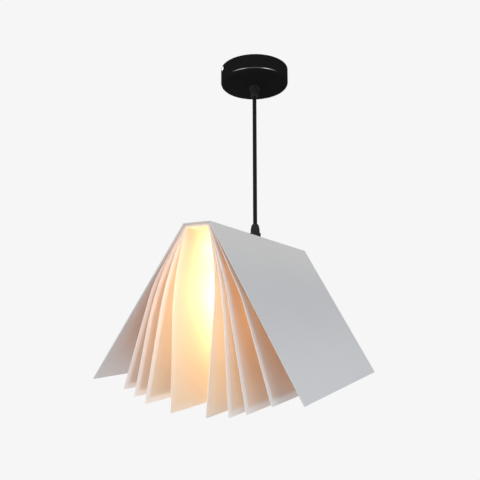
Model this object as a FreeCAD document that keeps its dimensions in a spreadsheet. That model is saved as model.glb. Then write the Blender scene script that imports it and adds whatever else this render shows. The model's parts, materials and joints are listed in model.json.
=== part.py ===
import FreeCAD, Part
import math
import os
import re
import Sketcher
from FreeCAD import Placement, Rotation, Vector

# Pendant light whose shade is an open book hung face down: a folded cover and four folded pages, clamped
# on a hollow threaded stem over a lampholder, and hung by a round cord from a shallow ceiling canopy.
# Millimetres and degrees. The origin is the centre of the ceiling face, Z is up, Y runs along the spine.

# Driving sizes

SIZES = {
    # canopy, bracket and side screws
    "canopy_diameter": 100, "canopy_height": 25, "canopy_wall": 1.2, "canopy_edge_radius": 5,
    "canopy_inner_chamfer": 3,
    "bracket_turn": 49, "bracket_gauge": 1.5, "bracket_width": 16, "bracket_bend": 2.5,
    "bracket_ear": 12, "bracket_centre_hole": 14, "ear_corner": 4,
    "ceiling_hole_circle": 64, "ceiling_hole": 5.2,
    "side_screw_drop": 6, "side_screw_thread": 4, "side_screw_length": 9,
    "side_screw_head": 7, "side_screw_crown": 3.5, "side_screw_rim": 1.2, "side_screw_head_height": 2.4,
    # terminals
    "block_centre": 19, "block_depth": 12, "block_width": 19, "block_height": 7, "pole_spacing": 12,
    "tower_diameter": 7, "tower_height": 3.5, "wire_hole": 3, "insert_wall": 1, "insert_setback": 1,
    "terminal_screw": 2.6,
    "block_screw": 3, "block_screw_head": 4.6, "block_screw_head_height": 1.8,
    "earth_screw": 4, "earth_screw_head": 7.4, "earth_screw_head_height": 2.4, "earth_screw_place": 19,
    # cord grip under the canopy
    "stem_diameter": 10, "stem_rise": 2, "nut_flats": 14, "nut_height": 3,
    "collar_flats": 15, "collar_height": 4, "barrel_diameter": 11.4, "barrel_length": 11,
    "tip_diameter": 8.2, "tip_length": 2,
    # cord
    "cord_diameter": 6, "cord_drop": 232, "cord_strip": 3, "wire_diameter": 1.8, "wire_offset": 1.25,
    "wire_rise": 4, "wire_lead_in": 3, "wire_insertion": 4,
    # book
    "spine_width": 36, "cover_length": 320, "cover_flat": 484, "cover_gauge": 1.5,
    "cover_lean_left": 35, "cover_lean_right": 29.5,
    "page_length": 315, "page_flat": 457, "page_gauge": 0.7, "sheet_gap": 0.2,
    # cord boot, hollow stem and washers at the spine
    "boot_height": 22, "boot_base_diameter": 16, "boot_base_height": 9, "boot_base_slope": 1,
    "boot_shoulder_diameter": 13, "boot_bulge_radius": 26, "boot_top_diameter": 10,
    "boot_top_round": 1.5, "washer_diameter": 18, "washer_gauge": 1,
    "nipple_rise": 10, "nipple_bore": 7,
    "seat_diameter": 24, "seat_gauge": 1.5,
    # lampholder
    "holder_diameter": 35, "holder_wall": 2, "holder_flat": 22, "holder_crown": 22, "holder_lip": 1,
    "holder_seam": 34, "holder_mouth": 56,
    "holder_neck": 6, "flute_count": 24, "flute_width": 1.6, "flute_depth": 0.7, "flute_margin": 3,
    "insulator_height": 7, "shell_bore": 27.2, "shell_gauge": 0.4, "shell_length": 20,
    "contact_length": 9, "contact_width": 5, "contact_tip_length": 4, "contact_gauge": 0.4,
    "contact_rise": 2, "contact_screw_spacing": 14, "contact_screw_offset": 3,
    "contact_screw_head": 5.2, "contact_screw_head_height": 1.6,
    # bulb
    "globe_diameter": 40, "globe_wall": 1, "globe_depth": 78, "bulb_cap_diameter": 26.4,
    "bulb_cap_length": 16, "bulb_cap_shoulder": 2.8, "bulb_cap_lip": 1, "bulb_cone_diameter": 18,
    "bulb_cone_height": 2.75, "bulb_tip_diameter": 7, "bulb_tip_height": 1,
    "bulb_collar_diameter": 28, "bulb_plug": 5, "board_diameter": 22, "board_gauge": 1.2,
    # clearances
    "running_gap": 0.3, "bore_gap": 0.3, "thread_gap": 0.05,
}

# Each leaf leaves its crease straight at the first lean, bends over a length and runs on at the last lean.
# A lean is an angle from the vertical, outwards. Leaves go from the cover to the middle of the book.
LEAF_SIZES = ("lean", "straight", "bend", "last")
LEFT_LEAVES = {1: (33.5, 62, 36, 17.5), 2: (33, 18, 112, 11.5), 3: (27.5, 5, 102, 10), 4: (18.5, 5, 100, 0)}
RIGHT_LEAVES = {1: (25.5, 84, 20, 17), 2: (17, 59, 24, 10.5), 3: (15, 12, 112, 3.5), 4: (12, 12, 82, -4.2)}
for side, leaves in (("left", LEFT_LEAVES), ("right", RIGHT_LEAVES)):
    for number, leaf in leaves.items():
        for size, amount in zip(LEAF_SIZES, leaf):
            SIZES["%s_leaf%d_%s" % (side, number, size)] = amount

PAGES = sorted(LEFT_LEAVES)
TINY = 1e-6
ARC_REACH = 0.45

doc = FreeCAD.newDocument("book_pendant")
sheet = doc.addObject("Spreadsheet::Sheet", "Sizes")
for row, (name, amount) in enumerate(SIZES.items(), start=1):
    sheet.set("A%d" % row, name.replace("_", " "))
    sheet.set("B%d" % row, str(amount))
    sheet.setAlias("B%d" % row, name)
doc.recompute()


# Formulas

def link(formula):
    """Points every size that a formula names at its cell in the sheet."""
    return re.sub(r"[a-z]\w*", lambda word: "Sizes." * (word.group() in SIZES) + word.group(), formula)


def value(formula):
    return float(sheet.evalExpression(link(formula)))


SPINE_TOP = "(-canopy_height - cord_drop)"
STACK = "(cover_gauge + %d * (page_gauge + sheet_gap))" % len(PAGES)
SEAT_TOP = "(%s + running_gap)" % STACK
HOLDER_TOP = "(%s + seat_gauge)" % SEAT_TOP
GRIP_LENGTH = "(collar_height + barrel_length + tip_length)"
GRIP_TIP = "(-canopy_height - %s)" % GRIP_LENGTH
WASHER_TOP = "(running_gap + washer_gauge)"
CORD_TOP = "(%s - running_gap)" % GRIP_TIP
CORD_FOOT = "(%s + boot_height + running_gap)" % SPINE_TOP
CORD_BORE = "(cord_diameter / 2 + bore_gap)"
NIPPLE_FOOT = "(%s + holder_wall + nut_height + stem_rise)" % HOLDER_TOP
CANOPY_NUT = "(-canopy_height + canopy_wall)"
STEM_TOP = "(%s + nut_height + stem_rise)" % CANOPY_NUT
NECK_TOP = "(holder_seam - holder_neck)"
INSULATOR_FOOT = "holder_seam"
INSULATOR_TOP = "(holder_seam - insulator_height)"
CONTACT_FOOT = "(holder_seam + shell_gauge + contact_rise)"
BULB_TIP = "(%s + running_gap)" % CONTACT_FOOT
BULB_CONE_TOP = "(%s + bulb_tip_height)" % BULB_TIP
BULB_CONE_FOOT = "(%s + bulb_cone_height)" % BULB_CONE_TOP
BULB_CAP_TOP = BULB_CONE_FOOT
BULB_CAP_FOOT = "(%s + bulb_cap_length)" % BULB_CAP_TOP
COLLAR_FOOT = "(globe_depth - sqrt((globe_diameter / 2) ^ 2 - (bulb_collar_diameter / 2) ^ 2))"


# Drawing

def hold(sketch, edge, end, across, up):
    """Holds one end of an edge at the place that two formulas give."""
    for kind, axis, formula in (("DistanceX", -2, across), ("DistanceY", -1, up)):
        size = value(formula)
        if abs(size) < TINY:
            sketch.addConstraint(Sketcher.Constraint("PointOnObject", edge, end, axis))
        elif size > 0:
            number = sketch.addConstraint(Sketcher.Constraint(kind, -1, 1, edge, end, size))
            sketch.setExpression("Constraints[%d]" % number, link(formula))
        else:
            number = sketch.addConstraint(Sketcher.Constraint(kind, edge, end, -1, 1, -size))
            sketch.setExpression("Constraints[%d]" % number, link("-(%s)" % formula))


def arc_between(start, end, radius):
    """A minor arc. It bends to the left of the way from start to end, or to the right for a minus radius."""
    chord = end - start
    half = chord.Length / 2
    rise = abs(radius) - math.sqrt(max(radius * radius - half * half, 0))
    left = Vector(-chord.y, chord.x, 0).normalize()
    middle = (start + end) / 2 + left * math.copysign(rise, radius)
    return Part.Arc(start, middle, end)


def draw(sketch, corners, closed=True):
    """Draws lines and arcs through corners. A corner is a pair of formulas, across and up.
    A third formula is the radius of the arc that leads to it from the corner before."""
    count = len(corners)
    places = [Vector(value(corner[0]), value(corner[1]), 0) for corner in corners]
    ends = []
    for index in range(count if closed else count - 1):
        after = (index + 1) % count
        start, end, corner = places[index], places[after], corners[after]
        if len(corner) == 2:
            edge = sketch.addGeometry(Part.LineSegment(start, end))
            ends.append((edge, 1, 2))
            continue
        edge = sketch.addGeometry(arc_between(start, end, value(corner[2])))
        turned_round = (sketch.getPoint(edge, 1) - start).Length > (sketch.getPoint(edge, 2) - start).Length
        ends.append((edge, 2, 1) if turned_round else (edge, 1, 2))
        number = sketch.addConstraint(Sketcher.Constraint("Radius", edge, abs(value(corner[2]))))
        sketch.setExpression("Constraints[%d]" % number, link("abs(%s)" % corner[2]))
    for index, (edge, first, last) in enumerate(ends):
        hold(sketch, edge, first, *corners[index][:2])
        if index or closed:
            edge_before, _, last_before = ends[index - 1]
            sketch.addConstraint(Sketcher.Constraint("Coincident", edge_before, last_before, edge, first))
    if not closed:
        hold(sketch, ends[-1][0], ends[-1][2], *corners[-1][:2])


def circle(sketch, across, up, radius):
    centre = Vector(value(across), value(up), 0)
    edge = sketch.addGeometry(Part.Circle(centre, Vector(0, 0, 1), value(radius)))
    hold(sketch, edge, 3, across, up)
    number = sketch.addConstraint(Sketcher.Constraint("Radius", edge, value(radius)))
    sketch.setExpression("Constraints[%d]" % number, link(radius))


def origin_feature(body, role):
    return [item for item in body.Origin.OriginFeatures if item.Role == role][0]


def body_sketch(body, plane, name):
    sketch = body.newObject("Sketcher::SketchObject", "%s_%s" % (body.Name, name))
    sketch.AttachmentSupport = [(origin_feature(body, plane), "")]
    sketch.MapMode = "FlatFace"
    return sketch


def bind(item, **formulas):
    for name, formula in formulas.items():
        item.setExpression(name, link(formula))


# Ways of making a piece

def turned(name, corners, axis="V_Axis"):
    """A body turned from half its outline: radius and height, or place and radius about the H_Axis."""
    body = doc.addObject("PartDesign::Body", name)
    sketch = body_sketch(body, "XZ_Plane", "outline")
    draw(sketch, corners)
    turn = body.newObject("PartDesign::Revolution", name + "_turn")
    turn.Profile = sketch
    turn.ReferenceAxis = (sketch, [axis])
    turn.Angle = 360
    return body


def ring(name, inner, outer, top, foot):
    """A turned ring or disc between two depths, both counted downwards."""
    low, high = "-(%s)" % foot, "-(%s)" % top
    return turned(name, [(inner, low), (outer, low), (outer, high), (inner, high)])


def padded(name, plane, corners, width):
    """A body padded both ways from a plane, from the outline that the corners give."""
    body = doc.addObject("PartDesign::Body", name)
    sketch = body_sketch(body, plane, "outline")
    draw(sketch, corners)
    pad = body.newObject("PartDesign::Pad", name + "_pad")
    pad.Profile = sketch
    pad.SideType = "Symmetric"
    bind(pad, Length=width)
    return body


def drilled(body, plane, name, holes):
    """Cuts round holes through a body, square to a plane."""
    sketch = body_sketch(body, plane, name)
    for across, up, radius in holes:
        circle(sketch, across, up, radius)
    pocket = body.newObject("PartDesign::Pocket", "%s_%s_cut" % (body.Name, name))
    pocket.Profile = sketch
    pocket.SideType = "Symmetric"
    pocket.Type = "ThroughAll"
    return body


def round_edges(body, name, radius, chosen):
    """Rounds the edges of a body that a rule accepts."""
    doc.recompute()
    base = body.Tip
    edges = ["Edge%d" % number for number, edge in enumerate(base.Shape.Edges, start=1) if chosen(edge)]
    fillet = body.newObject("PartDesign::Fillet", "%s_%s" % (body.Name, name))
    fillet.Base = (base, edges)
    bind(fillet, Radius=radius)
    return body


def cylinder(name, radius, length, across="0", along="0", up="0", lying=False):
    """A cylinder that stands on its place, or lies along X from it."""
    item = doc.addObject("Part::Cylinder", name)
    if lying:
        item.Placement.Rotation = Rotation(Vector(0, 1, 0), 90)
    bind(item, Radius=radius, Height=length)
    set_place(item, across, along, up)
    return item


def box(name, across, along, up, width, depth, height):
    item = doc.addObject("Part::Box", name)
    bind(item, Length=width, Width=depth, Height=height)
    set_place(item, across, along, up)
    return item


def hexagon(name, flats, height, up):
    item = doc.addObject("Part::Prism", name)
    item.Polygon = 6
    bind(item, Circumradius="%s / sqrt(3)" % flats, Height=height)
    set_place(item, "0", "0", up)
    return item


def set_place(item, across, along, up):
    for axis, formula in zip("xyz", (across, along, up)):
        item.setExpression("Placement.Base." + axis, link(formula))


def fused(name, *items):
    joined = doc.addObject("Part::MultiFuse", name)
    joined.Shapes = list(items)
    return joined


def cut(name, base, tool):
    remainder = doc.addObject("Part::Cut", name)
    remainder.Base, remainder.Tool = base, tool
    return remainder


def group(name, *items):
    together = doc.addObject("Part::Compound", name)
    together.Links = list(items)
    return together


def lead(name, diameter, points):
    """An insulated wire along straight runs, joined by arcs that take up most of each run."""
    route = [Vector(*[value(part) for part in point]) for point in points]
    edges, start = [], route[0]
    for before, corner, after in zip(route, route[1:], route[2:]):
        back, on = (before - corner).normalize(), (after - corner).normalize()
        half_turn = (math.pi - back.getAngle(on)) / 2
        reach = ARC_REACH * min((before - corner).Length, (after - corner).Length)
        radius = reach / math.tan(half_turn)
        middle = corner + (back + on).normalize() * radius * (1 / math.cos(half_turn) - 1)
        first, last = corner + back * reach, corner + on * reach
        edges += [Part.LineSegment(start, first).toShape(), Part.Arc(first, middle, last).toShape()]
        start = last
    edges.append(Part.LineSegment(start, route[-1]).toShape())
    section = Part.Wire(Part.makeCircle(value(diameter) / 2, route[0], route[1] - route[0]))
    item = doc.addObject("Part::Feature", name)
    item.Shape = Part.Wire(edges).makePipeShell([section], True, False)
    return item


def seat(items, up, turn=None):
    """Brings finished pieces to their height, and turns them about Z."""
    for item in items:
        item.setExpression("Placement.Base.z", link(up))
        if turn:
            item.Placement = Placement(Vector(), Rotation(Vector(0, 0, 1), value(turn)))
            item.setExpression("Placement.Rotation.Angle", link(turn))
    return list(items)


# Ceiling fitting, drawn with its bracket along X and turned as a whole afterwards

EAR_FACE = "(sqrt((canopy_diameter / 2 - canopy_wall) ^ 2 - (bracket_width / 2) ^ 2) - running_gap)"


def canopy():
    outer, inner = "canopy_diameter / 2", "canopy_diameter / 2 - canopy_wall"
    hole, edge = "stem_diameter / 2 + bore_gap", "canopy_diameter / 2 - canopy_edge_radius"
    shell = turned("canopy", [
        (hole, "-canopy_height"),
        (edge, "-canopy_height"),
        (outer, "-canopy_height + canopy_edge_radius", "-canopy_edge_radius"),
        (outer, "0"),
        (inner, "0"),
        (inner, "-canopy_height + canopy_wall + canopy_inner_chamfer"),
        (inner + " - canopy_inner_chamfer", "-canopy_height + canopy_wall"),
        (hole, "-canopy_height + canopy_wall"),
    ])
    return drilled(shell, "YZ_Plane", "side_holes",
                   [("0", "-side_screw_drop", "side_screw_thread / 2 + bore_gap")])


def ceiling_bracket():
    """A steel strap bent down at both ends into ears that take the canopy's side screws."""
    inside, bent = "(%s - bracket_gauge)" % EAR_FACE, "(%s - bracket_bend)" % EAR_FACE
    inner_bend = "-(bracket_bend - bracket_gauge)"
    strap = padded("ceiling_bracket", "XZ_Plane", [
        (bent, "0"),
        (EAR_FACE, "-bracket_bend", "bracket_bend"),
        (EAR_FACE, "-bracket_ear"),
        (inside, "-bracket_ear"),
        (inside, "-bracket_bend"),
        (bent, "-bracket_gauge", inner_bend),
        ("-" + bent, "-bracket_gauge"),
        ("-" + inside, "-bracket_bend", inner_bend),
        ("-" + inside, "-bracket_ear"),
        ("-" + EAR_FACE, "-bracket_ear"),
        ("-" + EAR_FACE, "-bracket_bend"),
        ("-" + bent, "0", "bracket_bend"),
    ], "bracket_width")
    ear_foot = value("-bracket_ear") + TINY
    round_edges(strap, "ear_corners", "ear_corner", lambda edge: (
        edge.CenterOfMass.z < ear_foot and abs(edge.tangentAt(edge.FirstParameter).x) > 0.99))
    drilled(strap, "XY_Plane", "face_holes", [
        ("0", "0", "bracket_centre_hole / 2"),
        ("ceiling_hole_circle / 2", "0", "ceiling_hole / 2"),
        ("-ceiling_hole_circle / 2", "0", "ceiling_hole / 2"),
        ("block_centre", "0", "block_screw / 2 + thread_gap"),
        ("-earth_screw_place", "0", "earth_screw / 2 + thread_gap"),
    ])
    return drilled(strap, "YZ_Plane", "ear_holes",
                   [("0", "-side_screw_drop", "side_screw_thread / 2 + thread_gap")])


def side_screw(name, side):
    """A pan-head screw through the canopy's wall and the bracket's ear, on one side."""
    under_head = "(canopy_diameter / 2 + thread_gap)"
    crown = "(%s + side_screw_head_height)" % under_head
    point = "(%s - side_screw_length)" % under_head
    return turned(name, [
        (side + point, "0"),
        (side + point, "side_screw_thread / 2"),
        (side + under_head, "side_screw_thread / 2"),
        (side + under_head, "side_screw_head / 2"),
        (side + "(%s + side_screw_rim)" % under_head, "side_screw_head / 2"),
        (side + crown, "side_screw_crown / 2"),
        (side + crown, "0"),
    ], "H_Axis")


WIRE_LEVEL = "(-bracket_gauge - block_height / 2)"
BLOCK_FOOT = "(-bracket_gauge - block_height)"
TOWER_FOOT = "(%s - tower_height)" % BLOCK_FOOT
POLES = {"front": "-pole_spacing / 2", "back": "pole_spacing / 2"}


def terminal_block():
    """A two-pole block: brass inserts lie in its wire holes, under screws in its towers."""
    start = "block_centre - block_depth / 2"
    hole = "wire_hole / 2 + insert_wall"
    solid = [box("block_base", start, "-block_width / 2", BLOCK_FOOT, "block_depth", "block_width",
                 "block_height")]
    holes = [cylinder("block_hole", "block_screw / 2 + bore_gap", "block_height",
                      "block_centre", "0", BLOCK_FOOT)]
    for name, along in POLES.items():
        solid.append(cylinder("tower_" + name, "tower_diameter / 2", "tower_height",
                              "block_centre", along, TOWER_FOOT))
        holes.append(cylinder("wire_hole_" + name, hole, "block_depth", start, along, WIRE_LEVEL, lying=True))
        holes.append(cylinder("screw_hole_" + name, "terminal_screw / 2 + thread_gap",
                              "%s - %s" % (WIRE_LEVEL, TOWER_FOOT), "block_centre", along, TOWER_FOOT))
    return cut("terminal_block", fused("block_solid", *solid), fused("block_holes", *holes))


def terminal_inserts():
    start = "block_centre - block_depth / 2 + insert_setback"
    length, outer = "block_depth - 2 * insert_setback", "wire_hole / 2 + insert_wall - thread_gap"
    tubes = []
    for name, along in POLES.items():
        rod = cylinder("insert_rod_" + name, outer, length, start, along, WIRE_LEVEL, lying=True)
        bore = cylinder("insert_bore_" + name, "wire_hole / 2", length, start, along, WIRE_LEVEL, lying=True)
        tubes.append(cut("insert_" + name, rod, bore))
    return group("terminal_inserts", *tubes)


def terminal_screws():
    foot = "%s + running_gap" % TOWER_FOOT
    length = "%s - wire_hole / 2 - insert_wall - (%s)" % (WIRE_LEVEL, foot)
    return group("terminal_screws", *[
        cylinder("terminal_screw_" + name, "terminal_screw / 2", length, "block_centre", along, foot)
        for name, along in POLES.items()])


def strap_screw(name, across, head_top):
    """A screw up into the strap from below, with its head under the piece that it holds."""
    shank = cylinder(name + "_shank", name + " / 2", "-(%s)" % head_top, across, "0", head_top)
    depth = name + "_head_height"
    knob = cylinder(name + "_knob", name + "_head / 2", depth, across, "0", "%s - %s" % (head_top, depth))
    return fused(name, shank, knob)


def grip_collar():
    """The threaded stem of the cord grip, with its hexagonal collar under the canopy."""
    foot = "-canopy_height - collar_height"
    collar = hexagon("collar_hexagon", "collar_flats", "collar_height", foot)
    stem = cylinder("collar_stem", "stem_diameter / 2", "%s - (%s)" % (STEM_TOP, foot), up=foot)
    bore = cylinder("collar_bore", CORD_BORE, "%s - (%s)" % (STEM_TOP, foot), up=foot)
    return cut("cord_grip_collar", fused("collar_solid", collar, stem), bore)


def grip_barrel():
    top, shoulder = "-canopy_height - collar_height", "-canopy_height - collar_height - barrel_length"
    return turned("cord_grip_barrel", [
        (CORD_BORE, GRIP_TIP),
        ("tip_diameter / 2", GRIP_TIP),
        ("barrel_diameter / 2", shoulder),
        ("barrel_diameter / 2", top),
        (CORD_BORE, top),
    ])


def hex_nut(name, up):
    blank = hexagon(name + "_blank", "nut_flats", "nut_height", up)
    hole = cylinder(name + "_hole", "stem_diameter / 2 + thread_gap", "nut_height", up=up)
    return cut(name, blank, hole)


def ceiling_fitting():
    tail_top = "(%s + cord_strip)" % STEM_TOP
    mouth = "block_centre - block_depth / 2"
    screws = [side_screw("side_screw_front", "-"), side_screw("side_screw_back", "")]
    pieces = [canopy(), ceiling_bracket(), terminal_block(), terminal_inserts(), terminal_screws()]
    pieces += [
        strap_screw("block_screw", "block_centre", BLOCK_FOOT),
        strap_screw("earth_screw", "-earth_screw_place", "-bracket_gauge"),
    ]
    pieces += [grip_collar(), grip_barrel(), hex_nut("canopy_nut", CANOPY_NUT)]
    pieces += [ring("cord_tail", "0", "cord_diameter / 2", "-" + tail_top, "-(%s)" % GRIP_TIP)]
    for name, sign in (("live_wire", "-"), ("neutral_wire", "")):
        along = sign + "pole_spacing / 2"
        pieces.append(lead(name, "wire_diameter", [
            ("0", sign + "wire_offset", tail_top),
            ("0", sign + "wire_offset", tail_top + " + wire_rise"),
            (mouth + " - wire_lead_in", along, WIRE_LEVEL),
            (mouth + " + wire_insertion", along, WIRE_LEVEL),
        ]))
    return seat(pieces, "0", "bracket_turn") + seat(screws, "-side_screw_drop", "bracket_turn")


# Cord, straight under the lamp's weight, with a round end at each of its two bends

def cord():
    radius = "cord_diameter / 2"
    return turned("cord", [
        ("0", CORD_FOOT),
        (radius, "%s + %s" % (CORD_FOOT, radius), "-" + radius),
        (radius, "%s - %s" % (CORD_TOP, radius)),
        ("0", CORD_TOP, "-" + radius),
    ])


# Book, drawn from the top of its spine

def crease(side, number):
    """Where a page folds: its place beside the middle and its depth, nested inside the sheets outside it."""
    across, lean, gauge = "spine_width / 2", "cover_lean_" + side, "cover_gauge"
    for nested in range(1, number + 1):
        across += " - %s * tan(45 - %s / 2) - sheet_gap / cos(%s)" % (gauge, lean, lean)
        lean, gauge = "%s_leaf%d_lean" % (side, nested), "page_gauge"
    depth = "(cover_gauge + sheet_gap + %d * (page_gauge + sheet_gap))" % (number - 1)
    return "(%s)" % across, depth


def leaf_outline(side, sign, number):
    """The outer face of a leaf from its crease to its free edge: straight, bent, and straight again."""
    lean, straight, bend, last = ["%s_leaf%d_%s" % (side, number, size) for size in LEAF_SIZES]
    across, depth = crease(side, number)
    radius = "(%s / (%s - %s) * 180 / pi)" % (bend, lean, last)
    chord = "(2 * %s * sin((%s - %s) / 2))" % (radius, lean, last)
    rest = "(page_flat / 2 - %s - %s - %s)" % (across, straight, bend)
    corners = [(across, depth)]
    for length, angle in ((straight, lean), (chord, "((%s + %s) / 2)" % (lean, last)), (rest, last)):
        across += " + %s * sin(%s)" % (length, angle)
        depth += " + %s * cos(%s)" % (length, angle)
        corners.append((across, depth))
    return [("%s(%s)" % (sign, across), "-(%s)" % depth) for across, depth in corners], radius


def folded_sheet(name, corners, gauge, length):
    """A flat sheet folded along its creases: its outer face as an open line, thickened inwards."""
    sketch = doc.addObject("Sketcher::SketchObject", name + "_outline")
    sketch.Placement.Rotation = Rotation(Vector(1, 0, 0), 90)
    draw(sketch, corners, closed=False)
    section = doc.addObject("Part::Offset2D", name + "_section")
    section.Source, section.Mode, section.Join, section.Fill = sketch, "Skin", "Intersection", True
    bind(section, Value="-" + gauge)
    panel = doc.addObject("Part::Extrusion", name + "_panel")
    panel.Base, panel.DirMode, panel.Dir = section, "Custom", Vector(0, 1, 0)
    panel.Solid, panel.Symmetric = True, True
    bind(panel, LengthFwd=length)
    hole = cylinder(name + "_hole", "stem_diameter / 2 + bore_gap", "2 * " + STACK, up="-1.5 * " + STACK)
    return cut(name, panel, hole)


def cover_sheet():
    half, leaf = "spine_width / 2", "(cover_flat - spine_width) / 2"
    corners = []
    for sign, lean in (("-", "cover_lean_left"), ("", "cover_lean_right")):
        free_edge = (sign + "(%s + %s * sin(%s))" % (half, leaf, lean), "-%s * cos(%s)" % (leaf, lean))
        corners += [free_edge, (sign + half, "0")] if sign else [(half, "0"), free_edge]
    return folded_sheet("cover_sheet", corners, "cover_gauge", "cover_length")


def page_sheet(number):
    left, left_radius = leaf_outline("left", "-", number)
    right, right_radius = leaf_outline("right", "", number)
    left.reverse()
    left[2] += (left_radius,)
    right[2] += (right_radius,)
    return folded_sheet("page_sheet_%d" % number, left + right, "page_gauge", "page_length")


def book():
    return seat([cover_sheet()] + [page_sheet(number) for number in PAGES], SPINE_TOP)


# Boot, stem and lampholder, drawn from the top of the spine with depths counted downwards

def cord_boot():
    """The bell that closes on the cord, screwed down on the stem above the spine."""
    thread, top = "stem_diameter / 2 + thread_gap", "boot_top_diameter / 2"
    return turned("cord_boot", [
        (thread, WASHER_TOP),
        ("boot_base_diameter / 2", WASHER_TOP),
        ("boot_base_diameter / 2", "boot_base_height"),
        ("boot_shoulder_diameter / 2", "boot_base_height + boot_base_slope"),
        (top, "boot_height - boot_top_round", "-boot_bulge_radius"),
        (top + " - boot_top_round", "boot_height", "-boot_top_round"),
        (CORD_BORE, "boot_height"),
        (CORD_BORE, "nipple_rise"),
        (thread, "nipple_rise"),
    ])


def dome_radius(across, down):
    """The radius of an arc that ends upright, after running so far across and down."""
    return "((%s) ^ 2 + (%s) ^ 2) / (2 * (%s))" % (across, down, across)


def holder_cap():
    outer, crown = "holder_diameter / 2", "(%s + holder_crown)" % HOLDER_TOP
    inner = "(%s - holder_wall)" % outer
    flat, inner_flat = "holder_flat / 2", "((holder_flat - holder_wall) / 2)"
    hole = "stem_diameter / 2 + thread_gap"
    inner_top = "(%s + holder_wall)" % HOLDER_TOP
    return turned("holder_cap", [
        (hole, "-" + HOLDER_TOP),
        (hole, "-" + inner_top),
        (inner_flat, "-" + inner_top),
        (inner, "-(%s - running_gap)" % NECK_TOP),
        (inner, "-holder_seam"),
        (outer, "-holder_seam"),
        (outer, "-" + crown),
        (flat, "-" + HOLDER_TOP, "-" + dome_radius("%s - %s" % (outer, flat), "holder_crown")),
    ])


HOLDER_BORE = "(shell_bore / 2 + shell_gauge + bore_gap)"


def holder_body():
    """The skirt round the screw shell, with a neck that screws into the cap and flutes for the hand."""
    outer, neck = "holder_diameter / 2", "(holder_diameter / 2 - holder_wall - thread_gap)"
    skirt = turned("holder_body", [
        (HOLDER_BORE, "-" + NECK_TOP),
        (HOLDER_BORE, "-holder_mouth"),
        (outer + " - holder_lip", "-holder_mouth"),
        (outer, "-holder_mouth + holder_lip"),
        (outer, "-holder_seam"),
        (neck, "-holder_seam"),
        (neck, "-" + NECK_TOP),
    ])
    sketch = body_sketch(skirt, "XZ_Plane", "flute")
    top, foot = "-(holder_seam + flute_margin)", "-(holder_mouth - flute_margin)"
    floor, clear = outer + " - flute_depth", outer + " + flute_depth"
    draw(sketch, [(floor, foot), (clear, foot), (clear, top), (floor, top)])
    flute = skirt.newObject("PartDesign::Pocket", "holder_body_flute_cut")
    flute.Profile, flute.SideType = sketch, "Symmetric"
    bind(flute, Length="flute_width")
    doc.recompute()
    flutes = skirt.newObject("PartDesign::PolarPattern", "holder_body_flutes")
    flutes.Originals = [flute]
    flutes.Axis = (origin_feature(skirt, "Z_Axis"), [""])
    flutes.Angle = 360
    bind(flutes, Occurrences="flute_count")
    skirt.Tip = flutes
    return skirt


def holder_insulator():
    """The ceramic core, with a hole for each wire and a screw beside it."""
    core = ring("insulator_core", "0", HOLDER_BORE + " - thread_gap", INSULATOR_TOP, INSULATOR_FOOT)
    holes = []
    for name, sign in (("live", "-"), ("neutral", "")):
        across = sign + "contact_screw_spacing / 2"
        for use, along, radius in (("wire", "", "wire_diameter / 2 + bore_gap"),
                                   ("screw", "-", "terminal_screw / 2 + thread_gap")):
            holes.append(cylinder("insulator_%s_%s" % (use, name), radius, "insulator_height / 2",
                                  across, along + "contact_screw_offset",
                                  "-%s - insulator_height / 2" % INSULATOR_TOP))
    return cut("holder_insulator", core, fused("insulator_holes", *holes))


def contact_screws():
    screws = []
    for name, sign in (("live", "-"), ("neutral", "")):
        across, along = sign + "contact_screw_spacing / 2", "-contact_screw_offset"
        shank = "(insulator_height / 2 - running_gap)"
        rod = cylinder("contact_shank_" + name, "terminal_screw / 2", shank, across, along,
                       "-%s - %s" % (INSULATOR_TOP, shank))
        head = cylinder("contact_head_" + name, "contact_screw_head / 2", "contact_screw_head_height",
                        across, along, "-" + INSULATOR_TOP)
        screws.append(fused("contact_screw_" + name, rod, head))
    return group("contact_screws", *screws)


def screw_shell():
    """The plain brass sleeve that a bulb screws into, hung from the core by its flange."""
    inner, outer = "shell_bore / 2", "shell_bore / 2 + shell_gauge"
    flange = "(sqrt(contact_length ^ 2 + contact_width ^ 2) / 2 + bore_gap)"
    top, under = "-holder_seam", "-(holder_seam + shell_gauge)"
    foot = "-(holder_seam + shell_length)"
    return turned("screw_shell", [
        (flange, top), (flange, under), (inner, under), (inner, foot), (outer, foot), (outer, top)])


def centre_contact():
    """A springy brass tongue, bent down to meet the bulb's tip."""
    reach, tip = "contact_length / 2", "contact_tip_length / 2"
    heel, inner_foot = "-(holder_seam + contact_gauge)", "-(%s - contact_gauge)" % CONTACT_FOOT
    return padded("centre_contact", "XZ_Plane", [
        ("-" + reach, "-holder_seam"),
        ("-" + tip, inner_foot),
        (tip, inner_foot),
        (reach, "-holder_seam"),
        (reach, heel),
        (tip, "-" + CONTACT_FOOT),
        ("-" + tip, "-" + CONTACT_FOOT),
        ("-" + reach, heel),
    ], "contact_width")


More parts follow.
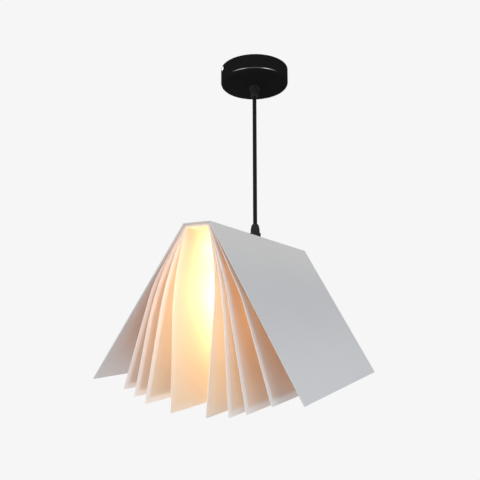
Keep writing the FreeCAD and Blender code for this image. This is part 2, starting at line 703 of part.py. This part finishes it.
def lampholder():
    thread = "stem_diameter / 2 + thread_gap"
    tail_foot = "(%s + cord_strip)" % NIPPLE_FOOT
    pieces = [cord_boot()]
    pieces += [ring("upper_washer", thread, "washer_diameter / 2", "-" + WASHER_TOP, "-running_gap")]
    pieces += [ring("threaded_nipple", "nipple_bore / 2", "stem_diameter / 2", "-nipple_rise", NIPPLE_FOOT)]
    pieces += [ring("seat_washer", thread, "seat_diameter / 2", SEAT_TOP, HOLDER_TOP)]
    pieces += [hex_nut("holder_nut", "-(%s + holder_wall + nut_height)" % HOLDER_TOP)]
    pieces += [holder_cap(), holder_body(), holder_insulator()]
    pieces += [contact_screws(), screw_shell(), centre_contact()]
    pieces += [ring("cord_end", "0", "cord_diameter / 2", "-boot_height", tail_foot)]
    for name, sign in (("holder_live_wire", "-"), ("holder_neutral_wire", "")):
        across = sign + "contact_screw_spacing / 2"
        pieces.append(lead(name, "wire_diameter", [
            (sign + "wire_offset", "0", "-" + tail_foot),
            (sign + "wire_offset", "0", "-(%s + wire_lead_in)" % tail_foot),
            (across, "contact_screw_offset", "-(%s - wire_rise)" % INSULATOR_TOP),
            (across, "contact_screw_offset", "-(%s + insulator_height / 2 - running_gap)" % INSULATOR_TOP),
        ]))
    return seat(pieces, SPINE_TOP)


# Bulb, drawn from the top of the spine like the lampholder

def bulb_globe():
    outer, inner = "globe_diameter / 2", "(globe_diameter / 2 - globe_wall)"
    neck, inner_neck = "bulb_collar_diameter / 2", "(bulb_collar_diameter / 2 - globe_wall)"
    return turned("bulb_globe", [
        (neck, "-" + COLLAR_FOOT, "-" + outer),
        (inner_neck, "-(globe_depth - sqrt(%s ^ 2 - %s ^ 2))" % (inner, inner_neck)),
        ("0", "-(globe_depth + %s)" % inner, inner),
        ("0", "-(globe_depth + %s)" % outer),
    ])


def bulb():
    cap, cone = "bulb_cap_diameter / 2", "bulb_cone_diameter / 2"
    inside = "(%s - shell_gauge)" % cap
    shoulder = "(%s + bulb_cap_shoulder)" % BULB_CAP_TOP
    plug, plug_top = "(%s - thread_gap)" % inside, "(%s - bulb_plug)" % BULB_CAP_FOOT
    return seat([
        ring("bulb_tip", "0", "bulb_tip_diameter / 2", BULB_TIP, BULB_CONE_TOP),
        turned("bulb_insulator", [
            ("0", "-" + BULB_CONE_FOOT),
            (cone, "-" + BULB_CONE_FOOT),
            ("bulb_tip_diameter / 2", "-" + BULB_CONE_TOP),
            ("0", "-" + BULB_CONE_TOP),
        ]),
        turned("bulb_cap", [
            (cone, "-" + BULB_CAP_TOP),
            (cone + " - bulb_cap_lip", "-" + BULB_CAP_TOP),
            (inside, "-(%s + shell_gauge)" % shoulder),
            (inside, "-" + BULB_CAP_FOOT),
            (cap, "-" + BULB_CAP_FOOT),
            (cap, "-" + shoulder),
        ]),
        turned("bulb_collar", [
            ("0", "-" + plug_top),
            (plug, "-" + plug_top),
            (plug, "-" + BULB_CAP_FOOT),
            (cap, "-" + BULB_CAP_FOOT),
            ("bulb_collar_diameter / 2", "-" + COLLAR_FOOT),
            ("0", "-" + COLLAR_FOOT),
        ]),
        ring("bulb_board", "0", "board_diameter / 2", COLLAR_FOOT, "%s + board_gauge" % COLLAR_FOOT),
        bulb_globe(),
    ], SPINE_TOP)


# Build, check and write

def faulty(item):
    return "Invalid" in item.State or "Error" in item.State


parts = ceiling_fitting() + [cord()] + book() + lampholder() + bulb()
doc.recompute()
faults = ["%s: %s" % (item.Label, ", ".join(item.State)) for item in doc.Objects if faulty(item)]
for part in parts:
    if part.Shape.isNull() or not part.Shape.isValid():
        faults.append("%s has no valid shape" % part.Label)
if faults:
    raise SystemExit("\n".join(faults))

os.makedirs("parts", exist_ok=True)
for part in parts:
    part.Shape.exportStep(os.path.join("parts", part.Label + ".step"))
    bounds = part.Shape.BoundBox
    print("%-22s %d solid, %9.1f mm3, z %7.1f to %7.1f" % (
        part.Label, len(part.Shape.Solids), part.Shape.Volume, bounds.ZMin, bounds.ZMax))

rod = value("%s - (%s)" % (CORD_TOP, CORD_FOOT)) * math.pi * value("cord_diameter / 2") ** 2
print("cord %.0f mm3, its section times its length %.0f mm3" % (doc.getObject("cord").Shape.Volume, rod))
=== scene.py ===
import json
import math

import bmesh
import bpy
from mathutils import Matrix, Vector

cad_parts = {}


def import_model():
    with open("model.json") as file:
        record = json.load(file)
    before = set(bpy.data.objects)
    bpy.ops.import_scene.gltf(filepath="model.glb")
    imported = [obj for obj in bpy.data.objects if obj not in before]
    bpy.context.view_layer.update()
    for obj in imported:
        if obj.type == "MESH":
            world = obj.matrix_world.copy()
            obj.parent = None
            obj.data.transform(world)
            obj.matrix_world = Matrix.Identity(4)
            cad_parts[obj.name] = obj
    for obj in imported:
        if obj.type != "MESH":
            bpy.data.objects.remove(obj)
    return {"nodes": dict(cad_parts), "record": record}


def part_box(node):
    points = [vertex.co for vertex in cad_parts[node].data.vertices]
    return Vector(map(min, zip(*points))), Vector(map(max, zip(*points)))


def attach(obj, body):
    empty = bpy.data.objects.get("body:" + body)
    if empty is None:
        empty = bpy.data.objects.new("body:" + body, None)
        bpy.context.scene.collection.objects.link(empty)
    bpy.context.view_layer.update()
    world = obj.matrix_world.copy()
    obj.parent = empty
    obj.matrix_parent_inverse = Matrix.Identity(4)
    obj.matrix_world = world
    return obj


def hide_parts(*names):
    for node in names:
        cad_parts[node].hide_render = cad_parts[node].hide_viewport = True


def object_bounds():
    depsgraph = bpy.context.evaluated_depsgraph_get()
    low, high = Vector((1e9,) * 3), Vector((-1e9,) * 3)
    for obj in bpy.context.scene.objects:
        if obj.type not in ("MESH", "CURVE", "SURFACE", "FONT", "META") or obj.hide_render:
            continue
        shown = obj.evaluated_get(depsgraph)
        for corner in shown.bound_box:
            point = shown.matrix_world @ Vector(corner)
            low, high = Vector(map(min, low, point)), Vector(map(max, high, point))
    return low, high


# Pendant light with an open-book shade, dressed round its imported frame. Metres, in the frame's own axes.

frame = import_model()
nodes = frame["nodes"]
cad_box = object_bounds()

# Sizes taken from the frame

cord_low, cord_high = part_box("cord")
cord_diameter = cord_high.x - cord_low.x
globe_low, globe_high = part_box("bulb_globe")
globe_centre = Vector((0, 0, globe_low.z + (globe_high.x - globe_low.x) / 2))


# Material nodes

def socket(item):
    return item.outputs[0] if isinstance(item, bpy.types.Node) else item


def add(tree, kind, inputs=None, **settings):
    """Adds a shader node. An input is a number, a colour, or a node or socket to link from."""
    item = tree.nodes.new("ShaderNode" + kind)
    for name, setting in settings.items():
        setattr(item, name, setting)
    for name, given in (inputs or {}).items():
        if isinstance(given, (bpy.types.Node, bpy.types.NodeSocket)):
            tree.links.new(socket(given), item.inputs[name])
        else:
            item.inputs[name].default_value = given
    return item


def colour(red, green, blue):
    return (red, green, blue, 1)


def new_material(name):
    material = bpy.data.materials.new(name)
    material.use_nodes = True
    material.node_tree.nodes.clear()
    return material, material.node_tree


def finish_material(tree, surface):
    output = add(tree, "OutputMaterial")
    tree.links.new(socket(surface), output.inputs["Surface"])


def place(tree):
    """The place in the object's own frame, which is the row frame at rest."""
    return add(tree, "TexCoord").outputs["Object"]


def noise(tree, scale, detail=3.0, vector=None, roughness=0.5):
    grain = add(tree, "TexNoise", {"Vector": vector or place(tree), "Scale": scale,
                                   "Detail": detail, "Roughness": roughness})
    return grain.outputs["Fac"]


def spread(tree, value, low, high):
    """Maps a value between 0 and 1 to a range."""
    return add(tree, "MapRange", {"Value": value, "To Min": low, "To Max": high}).outputs["Result"]


def blend_colours(tree, value, first, second):
    """The first colour where the value is 0, the second where it is 1. Either may be linked."""
    mix = add(tree, "Mix", {"Factor": value}, data_type="RGBA")
    for name, given in (("A", first), ("B", second)):
        if isinstance(given, bpy.types.NodeSocket):
            tree.links.new(given, mix.inputs[name])
        else:
            mix.inputs[name].default_value = given
    return mix.outputs["Result"]


def bump(tree, height, depth, strength=1.0):
    return add(tree, "Bump", {"Height": height, "Distance": depth, "Strength": strength})


def stretched(tree, across, along, up):
    return add(tree, "Mapping", {"Vector": place(tree), "Scale": (across, along, up)})


def plastic(name, dark, light, roughness, grain=1800, depth=0.00002, gloss=0.5):
    """Moulded plastic: a fine spark-eroded grain and a slightly uneven sheen."""
    material, tree = new_material(name)
    fine = noise(tree, grain, 2.0)
    cloud = noise(tree, 60, 3.0)
    shader = add(tree, "BsdfPrincipled", {
        "Base Color": blend_colours(tree, cloud, dark, light),
        "Roughness": spread(tree, cloud, roughness - 0.06, roughness + 0.06),
        "Normal": bump(tree, fine, depth),
        "Specular IOR Level": gloss,
    })
    finish_material(tree, shader)
    return material


def metal(name, dark, light, roughness, grain=(40, 40, 900)):
    """Plated metal with fine drawn lines and a cloudy sheen."""
    material, tree = new_material(name)
    lines = noise(tree, 30, 4.0, stretched(tree, *grain))
    cloud = noise(tree, 90, 3.0)
    shader = add(tree, "BsdfPrincipled", {
        "Base Color": blend_colours(tree, cloud, dark, light),
        "Metallic": 1.0,
        "Roughness": spread(tree, lines, roughness - 0.08, roughness + 0.1),
        "Normal": bump(tree, lines, 0.000006),
    })
    finish_material(tree, shader)
    return material


# The canopy's lower edge starts to round off at this height. A painted highlight lies in a band there, on the
# outside, over two arcs, one facing -65 degrees round the axis and one opposite, and fainter in the middle of
# each

CANOPY_WALL_END, CANOPY_INSIDE = -0.02, 0.0492
HIGHLIGHT_FACING, HIGHLIGHT_CLEAR, HIGHLIGHT_FULL = math.radians(-65), 0.78, 0.92
HIGHLIGHT_FADING, HIGHLIGHT_DIP_FULL, HIGHLIGHT_DIP_SHARE = 0.955, 0.985, 0.25
HIGHLIGHT_MIDDLE, HIGHLIGHT_REACH = CANOPY_WALL_END - 0.0002, 0.0007


def painted(name):
    """Powder coat: near-black, matt, with a faint orange peel, and a painted highlight where the edge rounds
    off.
    """
    material, tree = new_material(name)
    peel = noise(tree, 700, 2.0)
    cloud = noise(tree, 25, 2.0)
    axes = add(tree, "SeparateXYZ", {"Vector": place(tree)})
    level = add(tree, "CombineXYZ", {"X": axes.outputs["X"], "Y": axes.outputs["Y"]})
    radius = add(tree, "VectorMath", {0: level}, operation="LENGTH").outputs["Value"]
    outside = add(tree, "Math", {0: radius, 1: CANOPY_INSIDE}, operation="GREATER_THAN")
    away = add(tree, "Math", {0: add(tree, "Math", {0: axes.outputs["Z"], 1: HIGHLIGHT_MIDDLE},
                                     operation="SUBTRACT")}, operation="ABSOLUTE")
    band = add(tree, "MapRange", {"Value": away, "From Min": 0.0, "From Max": HIGHLIGHT_REACH, "To Min": 1.0,
                                  "To Max": 0.0}, interpolation_type="SMOOTHSTEP").outputs["Result"]
    highlight_patches = add(tree, "MapRange", {"Value": noise(tree, 34, 2.0), "From Min": 0.35, "From Max": 0.6,
                                     "To Min": 0.7})
    ahead = add(tree, "VectorMath", {0: level, 1: (math.cos(HIGHLIGHT_FACING), math.sin(HIGHLIGHT_FACING), 0)},
                operation="DOT_PRODUCT").outputs["Value"]
    turned = add(tree, "Math", {0: add(tree, "Math", {0: ahead}, operation="ABSOLUTE"), 1: radius},
                 operation="DIVIDE")
    highlight_arcs = add(tree, "MapRange", {"Value": turned, "From Min": HIGHLIGHT_CLEAR, "From Max": HIGHLIGHT_FULL})
    highlight_dip = add(tree, "MapRange", {"Value": turned, "From Min": HIGHLIGHT_FADING, "From Max": HIGHLIGHT_DIP_FULL,
                                     "To Min": 1.0, "To Max": HIGHLIGHT_DIP_SHARE})
    # Painted highlight: a pale metallic band on the rounding edge, over two arcs, broken by noise
    painted_highlight = band
    for share in (highlight_patches, outside, highlight_arcs, highlight_dip):
        painted_highlight = add(tree, "Math", {0: painted_highlight, 1: share}, operation="MULTIPLY")
    coat = blend_colours(tree, cloud, colour(0.0095, 0.0095, 0.0097), colour(0.013, 0.013, 0.0132))
    shader = add(tree, "BsdfPrincipled", {
        "Base Color": blend_colours(tree, painted_highlight, coat, colour(0.85, 0.85, 0.85)),
        "Metallic": painted_highlight,
        "Roughness": spread(tree, peel, 0.32, 0.42),
        "Normal": bump(tree, peel, 0.00003),
        "Specular IOR Level": 0.0,
    })
    finish_material(tree, shader)
    return material


# Painted light and shade on the cover: warmest near the spine, bluest a third of the way down and palest at
# its foot

COVER_TOP, COVER_MIDDLE, COVER_FOOT = -0.257, -0.335, -0.45
COVER_WARM_LIT = (colour(0.6, 0.605, 0.595), colour(0.645, 0.65, 0.64))
COVER_BLUE_SHADED = (colour(0.555, 0.562, 0.585), colour(0.59, 0.598, 0.625))
COVER_PALE_LIT = (colour(0.615, 0.635, 0.655), colour(0.665, 0.685, 0.71))


def cover_board():
    """White laminated board: painted light and shade that change slowly with height, a soft mottle, a fibre
    grain and a silky sheen.
    """
    material, tree = new_material("cover_board")
    mottle = noise(tree, 7, 2.0)
    fibre = noise(tree, 420, 6.0, roughness=0.65)
    height = add(tree, "SeparateXYZ", {"Vector": place(tree)}).outputs["Z"]
    upper = add(tree, "MapRange", {"Value": height, "From Min": COVER_MIDDLE, "From Max": COVER_TOP},
                interpolation_type="SMOOTHSTEP").outputs["Result"]
    lower = add(tree, "MapRange", {"Value": height, "From Min": COVER_MIDDLE, "From Max": COVER_FOOT},
                interpolation_type="SMOOTHSTEP").outputs["Result"]
    # Painted light and shade: the colour changes with height
    tone = blend_colours(tree, upper, blend_colours(tree, mottle, *COVER_BLUE_SHADED),
                         blend_colours(tree, mottle, *COVER_WARM_LIT))
    shader = add(tree, "BsdfPrincipled", {
        "Base Color": blend_colours(tree, lower, tone, blend_colours(tree, mottle, *COVER_PALE_LIT)),
        "Roughness": spread(tree, fibre, 0.5, 0.68),
        "Normal": bump(tree, fibre, 0.00002),
        "Specular IOR Level": 0.3,
    })
    finish_material(tree, shader)
    return material


# A sheet sends some of the light back and lets the rest through, warmer and scattered. Shadow rays pass
# in part, so that the bulb lights the outer leaves through the inner ones. A band along its bottom and end
# edges has a paler colour, painted light where the room light reaches the open edges, and lets less through.

# Painted shade: the outer sheets, further from the bulb, have darker colours than the inner ones
PAGE_SHADED_REFLECT = {
    "page_sheet_1": colour(0.62, 0.585, 0.57), "page_sheet_2": colour(0.67, 0.63, 0.6),
    "page_sheet_3": colour(0.71, 0.67, 0.62), "page_sheet_4": colour(0.73, 0.69, 0.625),
}
# Painted light: the paler colour of the band along the bottom and end edges
BORDER_LIT_REFLECT = colour(0.87, 0.87, 0.89)
PAGE_THROUGH = (colour(0.9, 0.83, 0.75), colour(0.94, 0.88, 0.81))
PAGE_SHARE = 0.4
BORDER_SHARE = 0.03
PAGE_PASS = colour(0.87, 0.81, 0.745)
BORDER_WIDTH = 0.007
BORDER_BLUR = 0.003
INNER_SHEET, INNER_BORDER = "page_sheet_4", 0.35


def border_mask(tree, item):
    """1 along the bottom and end edges of a folded page, 0 further in."""
    corners = [vertex.co for vertex in item.data.vertices]
    end = max(corner.y for corner in corners)
    feet = [min(corner.z for corner in corners if corner.x * side > 0) for side in (-1, 1)]
    axes = add(tree, "SeparateXYZ", {"Vector": place(tree)})
    right = add(tree, "Math", {0: axes.outputs["X"], 1: 0.0}, operation="GREATER_THAN")
    foot = add(tree, "MapRange", {"Value": right, "To Min": feet[0], "To Max": feet[1]})
    rise = add(tree, "Math", {0: axes.outputs["Z"], 1: foot}, operation="SUBTRACT")
    along = add(tree, "Math", {0: axes.outputs["Y"]}, operation="ABSOLUTE")
    inset = add(tree, "Math", {0: end, 1: along}, operation="SUBTRACT")
    nearest = add(tree, "Math", {0: rise, 1: inset}, operation="MINIMUM")
    return add(tree, "MapRange", {
        "Value": nearest, "From Min": BORDER_WIDTH - BORDER_BLUR, "From Max": BORDER_WIDTH + BORDER_BLUR,
        "To Min": 1.0, "To Max": 0.0}, interpolation_type="SMOOTHSTEP").outputs["Result"]


def page(name, item):
    material, tree = new_material(name)
    fibre = noise(tree, 350, 6.0, roughness=0.7)
    cloud = noise(tree, 30, 3.0)
    surface = bump(tree, fibre, 0.00002)
    border = add(tree, "Math", {0: border_mask(tree, item), 1: INNER_BORDER if name == INNER_SHEET else 1.0},
                 operation="MULTIPLY").outputs[0]
    front = add(tree, "BsdfPrincipled", {
        "Base Color": blend_colours(tree, border, PAGE_SHADED_REFLECT[name], BORDER_LIT_REFLECT),
        "Roughness": spread(tree, fibre, 0.55, 0.7),
        "Normal": surface,
        "Specular IOR Level": 0.2,
    })
    through = add(tree, "BsdfTranslucent", {
        "Color": blend_colours(tree, cloud, *PAGE_THROUGH),
        "Normal": surface,
    })
    share = add(tree, "MapRange", {"Value": border, "To Min": PAGE_SHARE, "To Max": BORDER_SHARE})
    sheet = add(tree, "MixShader", {"Fac": share})
    tree.links.new(front.outputs[0], sheet.inputs[1])
    tree.links.new(through.outputs[0], sheet.inputs[2])
    clear = add(tree, "BsdfTransparent", {"Color": PAGE_PASS})
    whole = add(tree, "MixShader", {"Fac": add(tree, "LightPath").outputs["Is Shadow Ray"]})
    tree.links.new(sheet.outputs[0], whole.inputs[1])
    tree.links.new(clear.outputs[0], whole.inputs[2])
    finish_material(tree, whole)
    return material


GLOBE_STRENGTH = 6.0


def opal():
    """The lit globe: opal plastic, a little brighter at its middle."""
    material, tree = new_material("opal_globe")
    facing = add(tree, "LayerWeight", {"Blend": 0.35}).outputs["Facing"]
    shader = add(tree, "BsdfPrincipled", {
        "Base Color": colour(0.95, 0.92, 0.86),
        "Roughness": spread(tree, noise(tree, 500), 0.25, 0.35),
        "Emission Color": blend_colours(tree, facing, colour(1, 0.86, 0.62), colour(1, 0.72, 0.42)),
        "Emission Strength": GLOBE_STRENGTH,
    })
    finish_material(tree, shader)
    return material


def glaze(name, dark, light, roughness):
    """Fired or glassy: smooth, with a slow waviness."""
    material, tree = new_material(name)
    wave = noise(tree, 120, 2.0)
    shader = add(tree, "BsdfPrincipled", {
        "Base Color": blend_colours(tree, wave, dark, light),
        "Roughness": spread(tree, wave, roughness, roughness + 0.08),
        "Normal": bump(tree, wave, 0.00003),
    })
    finish_material(tree, shader)
    return material


materials = {
    "canopy_paint": painted("canopy_paint"),
    "steel": metal("steel", colour(0.5, 0.5, 0.5), colour(0.64, 0.64, 0.65), 0.32),
    "side_screw_metal": metal("side_screw_metal", colour(0.7, 0.7, 0.71), colour(0.82, 0.82, 0.84), 0.18),
    "terminal_plastic": plastic("terminal_plastic", colour(0.66, 0.66, 0.62), colour(0.72, 0.72, 0.69), 0.45),
    "brass": metal("brass", colour(0.58, 0.39, 0.13), colour(0.72, 0.52, 0.2), 0.28),
    "grip_plastic": plastic("grip_plastic", colour(0.026, 0.026, 0.027), colour(0.034, 0.034, 0.035), 0.42,
                            gloss=0.01),
    "cord_sheath": plastic("cord_sheath", colour(0.006, 0.006, 0.0065), colour(0.01, 0.01, 0.011), 0.5, 2600,
                           gloss=0.08),
    "live_sheath": plastic("live_sheath", colour(0.1, 0.035, 0.012), colour(0.14, 0.05, 0.018), 0.35),
    "neutral_sheath": plastic("neutral_sheath", colour(0.01, 0.05, 0.3), colour(0.015, 0.07, 0.38), 0.35),
    "cover_board": cover_board(),
    "holder_plastic": plastic("holder_plastic", colour(0.66, 0.66, 0.64), colour(0.73, 0.73, 0.71), 0.3),
    "porcelain": glaze("porcelain", colour(0.68, 0.67, 0.63), colour(0.76, 0.75, 0.72), 0.4),
    "cap_metal": metal("cap_metal", colour(0.6, 0.6, 0.61), colour(0.74, 0.74, 0.75), 0.24),
    "cap_insulation": glaze("cap_insulation", colour(0.008, 0.008, 0.01), colour(0.014, 0.014, 0.016), 0.12),
    "bulb_plastic": plastic("bulb_plastic", colour(0.72, 0.72, 0.7), colour(0.8, 0.8, 0.78), 0.35),
    "opal_globe": opal(),
}

for row in frame["record"]["subparts"]:
    slot, item = row["material_slot"], nodes[row["node"]]
    item.data.materials.clear()
    item.data.materials.append(page(row["node"], item) if slot == "page_sheet" else materials[slot])


# Softened edges on what is cut, folded or moulded square

SOFT_EDGES = {
    "cover_sheet": 0.0003, "cord_grip_collar": 0.0005, "canopy_nut": 0.0005, "upper_washer": 0.0002,
    "seat_washer": 0.0002,
}
EDGE_ANGLE = math.radians(50)

for name, width in SOFT_EDGES.items():
    weld = nodes[name].modifiers.new("weld", "WELD")
    weld.merge_threshold = 0.000001
    soften = nodes[name].modifiers.new("soften", "BEVEL")
    soften.limit_method = "ANGLE"
    soften.angle_limit = EDGE_ANGLE
    soften.width = width
    soften.segments = 2


# The canopy's side screws: a domed pan head with a cross recess, and thread ridges on the shank

SCREW_HEAD_RADIUS, SCREW_HEAD_HEIGHT, SCREW_CROWN_RADIUS = 0.0035, 0.0024, 0.0055
SCREW_RADIUS, SCREW_LENGTH, SCREW_PITCH, SCREW_ROOT = 0.002, 0.009, 0.0007, 0.0017
RECESS_WIDTH, RECESS_SPAN, RECESS_DEPTH = 0.0008, 0.0038, 0.0015
SCREW_SIDES = 48


def screw_outline():
    """From the point of the shank up to the middle of the head: distance along the axis, and radius."""
    outline = [(-SCREW_LENGTH, 0), (-SCREW_LENGTH, SCREW_ROOT)]
    for turn in range(int(SCREW_LENGTH / SCREW_PITCH)):
        start = -SCREW_LENGTH + turn * SCREW_PITCH
        outline += [(start + SCREW_PITCH * 0.5, SCREW_RADIUS), (start + SCREW_PITCH, SCREW_ROOT)]
    outline += [(0, SCREW_RADIUS), (0, SCREW_HEAD_RADIUS - 0.0002), (0.0002, SCREW_HEAD_RADIUS)]
    rim = SCREW_HEAD_HEIGHT - SCREW_CROWN_RADIUS + math.sqrt(SCREW_CROWN_RADIUS ** 2 - SCREW_HEAD_RADIUS ** 2)
    outline.append((rim, SCREW_HEAD_RADIUS))
    for step in range(1, 9):
        radius = SCREW_HEAD_RADIUS * (1 - step / 8)
        dome = math.sqrt(SCREW_CROWN_RADIUS ** 2 - radius ** 2) - SCREW_CROWN_RADIUS
        outline.append((SCREW_HEAD_HEIGHT + dome, radius))
    return outline


def lathed(name, outline):
    """A closed solid of revolution round X, from an outline that starts and ends on the axis."""
    made = bmesh.new()
    rings = []
    for along, radius in outline:
        if radius == 0:
            rings.append([made.verts.new((along, 0, 0))])
        else:
            rings.append([made.verts.new((along, radius * math.cos(angle), radius * math.sin(angle)))
                          for angle in (2 * math.pi * side / SCREW_SIDES for side in range(SCREW_SIDES))])
    for first, second in zip(rings, rings[1:]):
        for side in range(SCREW_SIDES):
            after = (side + 1) % SCREW_SIDES
            corners = [first[side % len(first)], first[after % len(first)],
                       second[after % len(second)], second[side % len(second)]]
            made.faces.new(list(dict.fromkeys(corners)))
    bmesh.ops.recalc_face_normals(made, faces=made.faces)
    mesh = bpy.data.meshes.new(name)
    made.to_mesh(mesh)
    made.free()
    item = bpy.data.objects.new(name, mesh)
    bpy.context.scene.collection.objects.link(item)
    return item


def recess_blade(name, size):
    """One bar of the cross recess, narrower at its foot, as a cutter."""
    made = bmesh.new()
    bmesh.ops.create_cube(made, size=1.0)
    foot = SCREW_HEAD_HEIGHT - RECESS_DEPTH
    for corner in made.verts:
        taper = 0.45 if corner.co.x < 0 else 1.0
        corner.co = (foot if corner.co.x < 0 else SCREW_HEAD_HEIGHT + 0.001,
                     corner.co.y * size[0] * taper, corner.co.z * size[1] * taper)
    mesh = bpy.data.meshes.new(name)
    made.to_mesh(mesh)
    made.free()
    item = bpy.data.objects.new(name, mesh)
    bpy.context.scene.collection.objects.link(item)
    return item


def side_screw(node):
    low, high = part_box(node)
    middle = (low + high) / 2
    outward = Vector((middle.x, middle.y, 0)).normalized()
    crown = max(corner.co.dot(outward) for corner in nodes[node].data.vertices)
    blank = lathed(node + "_blank", screw_outline())
    blades = [recess_blade("recess_bar", (RECESS_WIDTH, RECESS_SPAN)),
              recess_blade("recess_cross", (RECESS_SPAN, RECESS_WIDTH))]
    for blade in blades:
        cut = blank.modifiers.new(blade.name, "BOOLEAN")
        cut.operation, cut.solver, cut.object = "DIFFERENCE", "EXACT", blade
    whole = bpy.data.meshes.new_from_object(blank.evaluated_get(bpy.context.evaluated_depsgraph_get()))
    for item in [blank] + blades:
        bpy.data.objects.remove(item)
    facing = Matrix.Rotation(math.atan2(outward.y, outward.x), 4, "Z")
    turned = facing @ Matrix.Rotation(math.radians(20), 4, "X")
    base = outward * (crown - SCREW_HEAD_HEIGHT)
    whole.transform(Matrix.Translation(Vector((base.x, base.y, middle.z))) @ turned)
    whole.materials.clear()
    whole.materials.append(materials["side_screw_metal"])
    piece = bpy.data.objects.new(node + "_dressed", whole)
    bpy.context.scene.collection.objects.link(piece)
    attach(piece, "ceiling_fitting")
    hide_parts(node)


for node in ("side_screw_front", "side_screw_back"):
    side_screw(node)


# Cord, a taut straight length between the tip of the cord grip and the top of the boot

CORD_ROUTE = (-0.0423, -0.14, -0.2347)


def hung_cord():
    curve = bpy.data.curves.new("cord_visible", "CURVE")
    curve.dimensions = "3D"
    curve.bevel_depth = cord_diameter / 2
    curve.bevel_resolution = 8
    curve.use_fill_caps = True
    line = curve.splines.new("NURBS")
    line.points.add(len(CORD_ROUTE) - 1)
    for point, height in zip(line.points, CORD_ROUTE):
        point.co = (0, 0, height, 1)
    line.order_u = 3
    line.use_endpoint_u = True
    item = bpy.data.objects.new("cord_visible", curve)
    bpy.context.scene.collection.objects.link(item)
    curve.materials.append(materials["cord_sheath"])
    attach(item, "cord")
    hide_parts("cord")
    return item


hung_cord()


# Stage, light and camera

BACKGROUND = colour(0.922, 0.922, 0.922)
FLOOR_DROP = 0.9


def seen_directly(tree):
    """1 for rays that show the background: straight, by reflection or through something clear."""
    path = add(tree, "LightPath")
    total = path.outputs["Is Camera Ray"]
    for name in ("Is Glossy Ray", "Is Transmission Ray"):
        total = add(tree, "Math", {0: total, 1: path.outputs[name]}, operation="MAXIMUM").outputs[0]
    return total


def floor():
    bpy.ops.mesh.primitive_plane_add(size=12, location=(0, 0, cad_box[0].z - FLOOR_DROP))
    item = bpy.context.object
    item.name = "floor"
    material, tree = new_material("floor")
    mix = add(tree, "MixShader", {"Fac": seen_directly(tree)})
    tree.links.new(add(tree, "BsdfDiffuse", {"Color": BACKGROUND}).outputs[0], mix.inputs[1])
    tree.links.new(add(tree, "Emission", {"Color": BACKGROUND, "Strength": 1.0}).outputs[0], mix.inputs[2])
    finish_material(tree, mix)
    item.data.materials.append(material)


WORLD_LIGHT = 0.66
KEY_PLACE, KEY_SIZE = (1.6, -1.2, 0.9), 1.2
KEY_POWER = 10
FILL_PLACE, FILL_SIZE = (-1.6, -1.4, 0.1), 1.6
FILL_POWER = 10
LIGHT_TARGET = (0, 0, -0.35)


def world():
    made = bpy.data.worlds.new("studio")
    bpy.context.scene.world = made
    made.use_nodes = True
    tree = made.node_tree
    tree.nodes.clear()
    soft = add(tree, "Background", {"Color": colour(1, 1, 1), "Strength": WORLD_LIGHT})
    shown = add(tree, "Background", {"Color": BACKGROUND, "Strength": 1.0})
    mix = add(tree, "MixShader", {"Fac": seen_directly(tree)})
    tree.links.new(soft.outputs[0], mix.inputs[1])
    tree.links.new(shown.outputs[0], mix.inputs[2])
    output = add(tree, "OutputWorld")
    tree.links.new(mix.outputs[0], output.inputs["Surface"])


def area_light(name, where, target, size, power, tone=(1, 1, 1)):
    light = bpy.data.lights.new(name, "AREA")
    light.shape, light.size, light.energy, light.color = "DISK", size, power, tone
    item = bpy.data.objects.new(name, light)
    bpy.context.scene.collection.objects.link(item)
    item.location = where
    item.rotation_mode = "QUATERNION"
    item.rotation_quaternion = (Vector(target) - Vector(where)).to_track_quat("-Z", "Y")
    return item


def bulb_light():
    light = bpy.data.lights.new("bulb_light", "POINT")
    light.energy = BULB_POWER
    light.color = BULB_TONE
    light.shadow_soft_size = (globe_high.x - globe_low.x) / 2 * 0.9
    item = bpy.data.objects.new("bulb_light", light)
    bpy.context.scene.collection.objects.link(item)
    item.location = globe_centre + BULB_OFFSET
    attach(item, "lampholder")
    nodes["bulb_globe"].visible_shadow = False


def bounce_light(name, where):
    light = bpy.data.lights.new(name, "POINT")
    light.energy = BOUNCE_POWER
    light.color = BULB_TONE
    light.shadow_soft_size = 0.012
    item = bpy.data.objects.new(name, light)
    bpy.context.scene.collection.objects.link(item)
    item.location = where
    item.visible_camera = False
    item.visible_glossy = False
    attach(item, "shade")


BULB_POWER = 1.25
BULB_OFFSET = Vector((-0.008, -0.013, 0))
BULB_TONE = (1.0, 0.68, 0.385)

# The light that the sheets throw up past the lampholder, on its front and back

BOUNCE_PLACE = Vector((0, 0.095, -0.284))
BOUNCE_POWER = 0.06

CAMERA_PLACE = Vector((0.300887, -0.643997, -0.359985))
CAMERA_YAW, CAMERA_PITCH, CAMERA_ROLL = -0.4678, 0.143, -0.001
FOCAL_PIXELS, FRAME_PIXELS, SENSOR = 500.165, 480, 36.0


def camera():
    data = bpy.data.cameras.new("camera")
    data.sensor_width = SENSOR
    data.lens = SENSOR * FOCAL_PIXELS / FRAME_PIXELS
    data.clip_start, data.clip_end = 0.01, 50
    item = bpy.data.objects.new("camera", data)
    bpy.context.scene.collection.objects.link(item)
    along = Vector((math.sin(CAMERA_YAW) * math.cos(CAMERA_PITCH),
                    math.cos(CAMERA_YAW) * math.cos(CAMERA_PITCH),
                    math.sin(CAMERA_PITCH)))
    turn = along.to_track_quat("-Z", "Y").to_matrix().to_4x4() @ Matrix.Rotation(CAMERA_ROLL, 4, "Z")
    item.matrix_world = Matrix.Translation(CAMERA_PLACE) @ turn
    bpy.context.scene.camera = item


floor()
world()
area_light("key", KEY_PLACE, LIGHT_TARGET, KEY_SIZE, KEY_POWER)
area_light("fill", FILL_PLACE, LIGHT_TARGET, FILL_SIZE, FILL_POWER)
bulb_light()
bounce_light("bounce_back", BOUNCE_PLACE)
bounce_light("bounce_front", Vector((BOUNCE_PLACE.x, -BOUNCE_PLACE.y, BOUNCE_PLACE.z)))
camera()
bpy.context.scene.view_settings.view_transform = "Standard"
